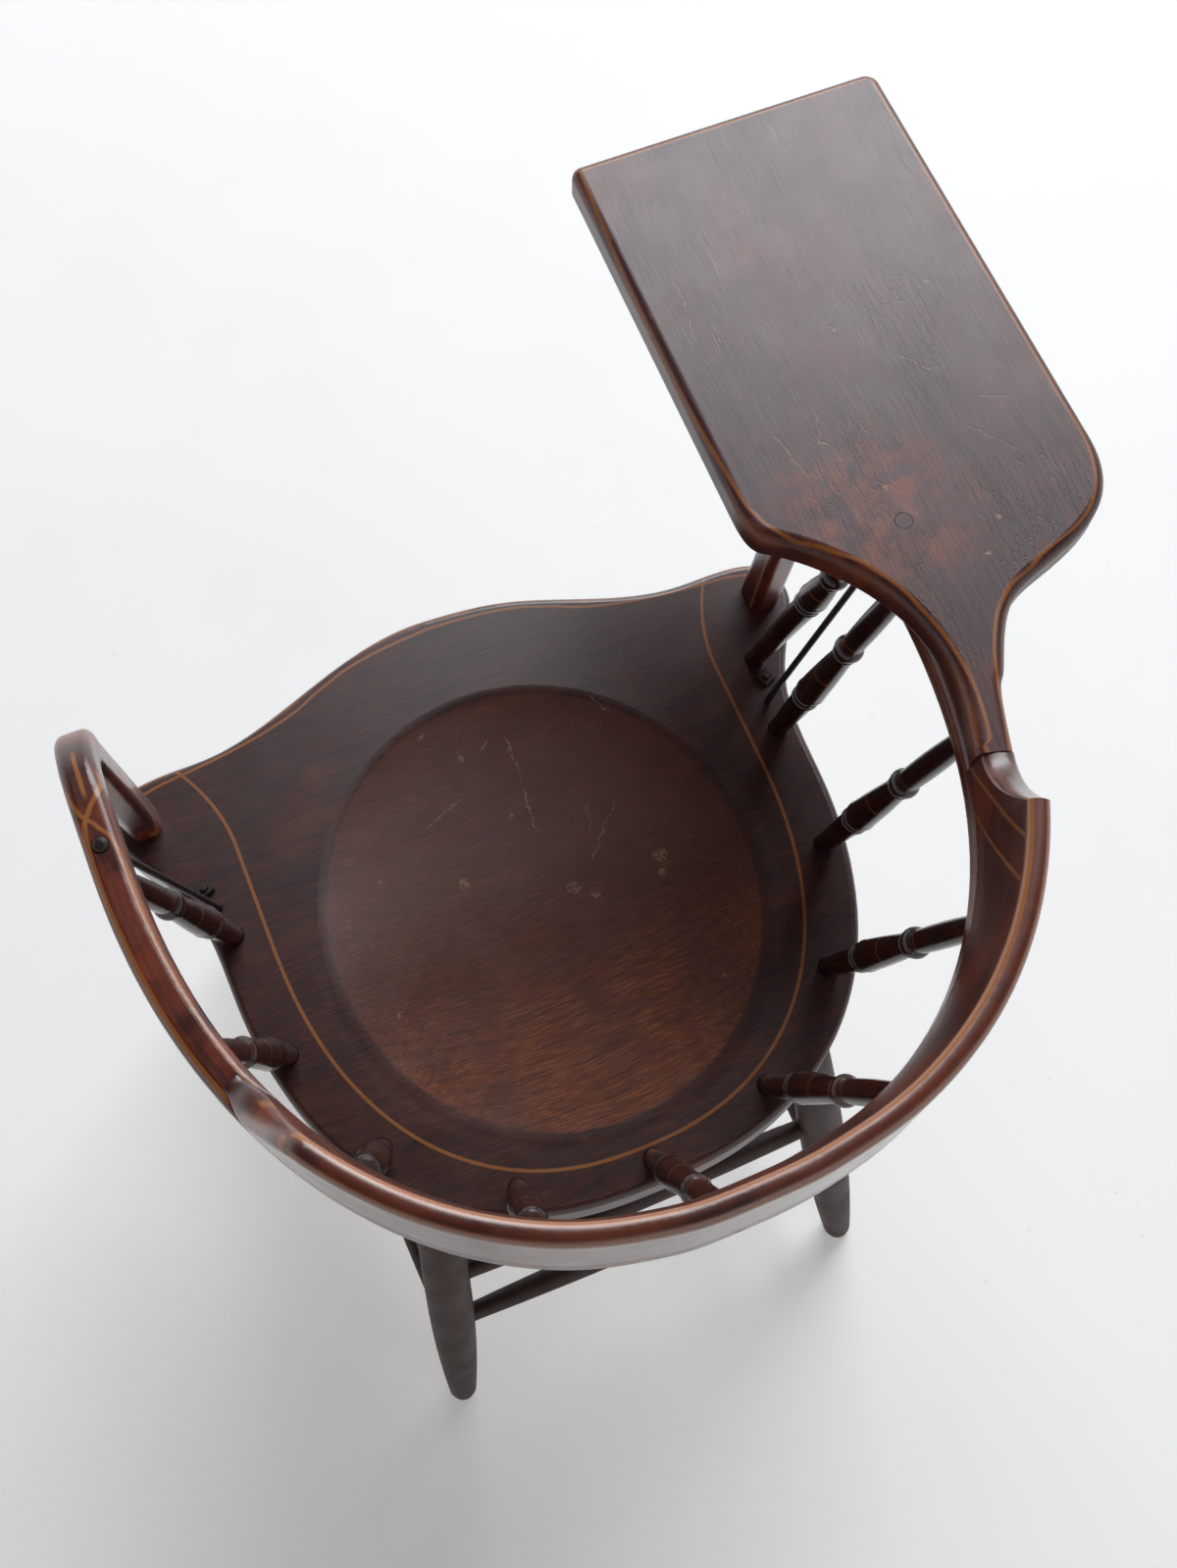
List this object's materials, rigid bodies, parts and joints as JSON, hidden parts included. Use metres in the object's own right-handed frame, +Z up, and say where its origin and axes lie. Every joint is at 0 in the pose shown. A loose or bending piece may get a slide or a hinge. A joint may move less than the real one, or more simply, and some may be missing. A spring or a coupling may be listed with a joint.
{
  "type": "writing arm windsor chair",
  "caption": "Low-backed armchair of turned spindles with a dished plank seat, a bent arm bow with a crest, and a paddle-shaped writing board on the sitter's right arm.",
  "frame": {"origin": "on the floor, under the seat's centre line, where the seat's middle would drop to the floor", "axes": "+Z up; the chair faces -Y; +X is the sitter's left, so the writing board is on the -X side"},
  "size_m": [0.6454, 0.6455, 0.7622],
  "materials": {
    "seat_wood": "worn dark mahogany-coloured varnish with an orange painted line",
    "bow_wood": "dark red-brown varnish, worn orange on the arrises",
    "board_wood": "crazed purplish-brown varnish, worn along the edges",
    "plug_wood": "varnished",
    "spindle_wood": "dark red-brown varnish",
    "leg_wood": "dull grey-brown worn varnish",
    "iron": "blackened iron"
  },
  "bodies": {
    "root": {"arm_bow": "bow_wood", "board_plug": "plug_wood", "board_screws": "iron", "crest": "bow_wood", "crest_screws": "iron", "leg_front_left": "leg_wood", "leg_front_right": "leg_wood", "leg_rear_left": "leg_wood", "leg_rear_right": "leg_wood", "seat": "seat_wood", "seat_bolt_nuts": "iron", "seat_bolts": "iron", "spindle_1": "spindle_wood", "spindle_2": "spindle_wood", "spindle_3": "spindle_wood", "spindle_4": "spindle_wood", "spindle_5": "spindle_wood", "spindle_6": "spindle_wood", "spindle_7": "spindle_wood", "spindle_8": "spindle_wood", "spindle_9": "spindle_wood", "stretcher_front_lower": "leg_wood", "stretcher_front_upper": "leg_wood", "stretcher_left_lower": "leg_wood", "stretcher_left_upper": "leg_wood", "stretcher_rear_lower": "leg_wood", "stretcher_rear_upper": "leg_wood", "stretcher_right_lower": "leg_wood", "stretcher_right_upper": "leg_wood", "support_spindle": "spindle_wood", "tie_rod_left": "iron", "tie_rod_nuts": "iron", "tie_rod_right": "iron", "tie_rod_washers": "iron", "writing_board": "board_wood"}
  },
  "joints": []
}
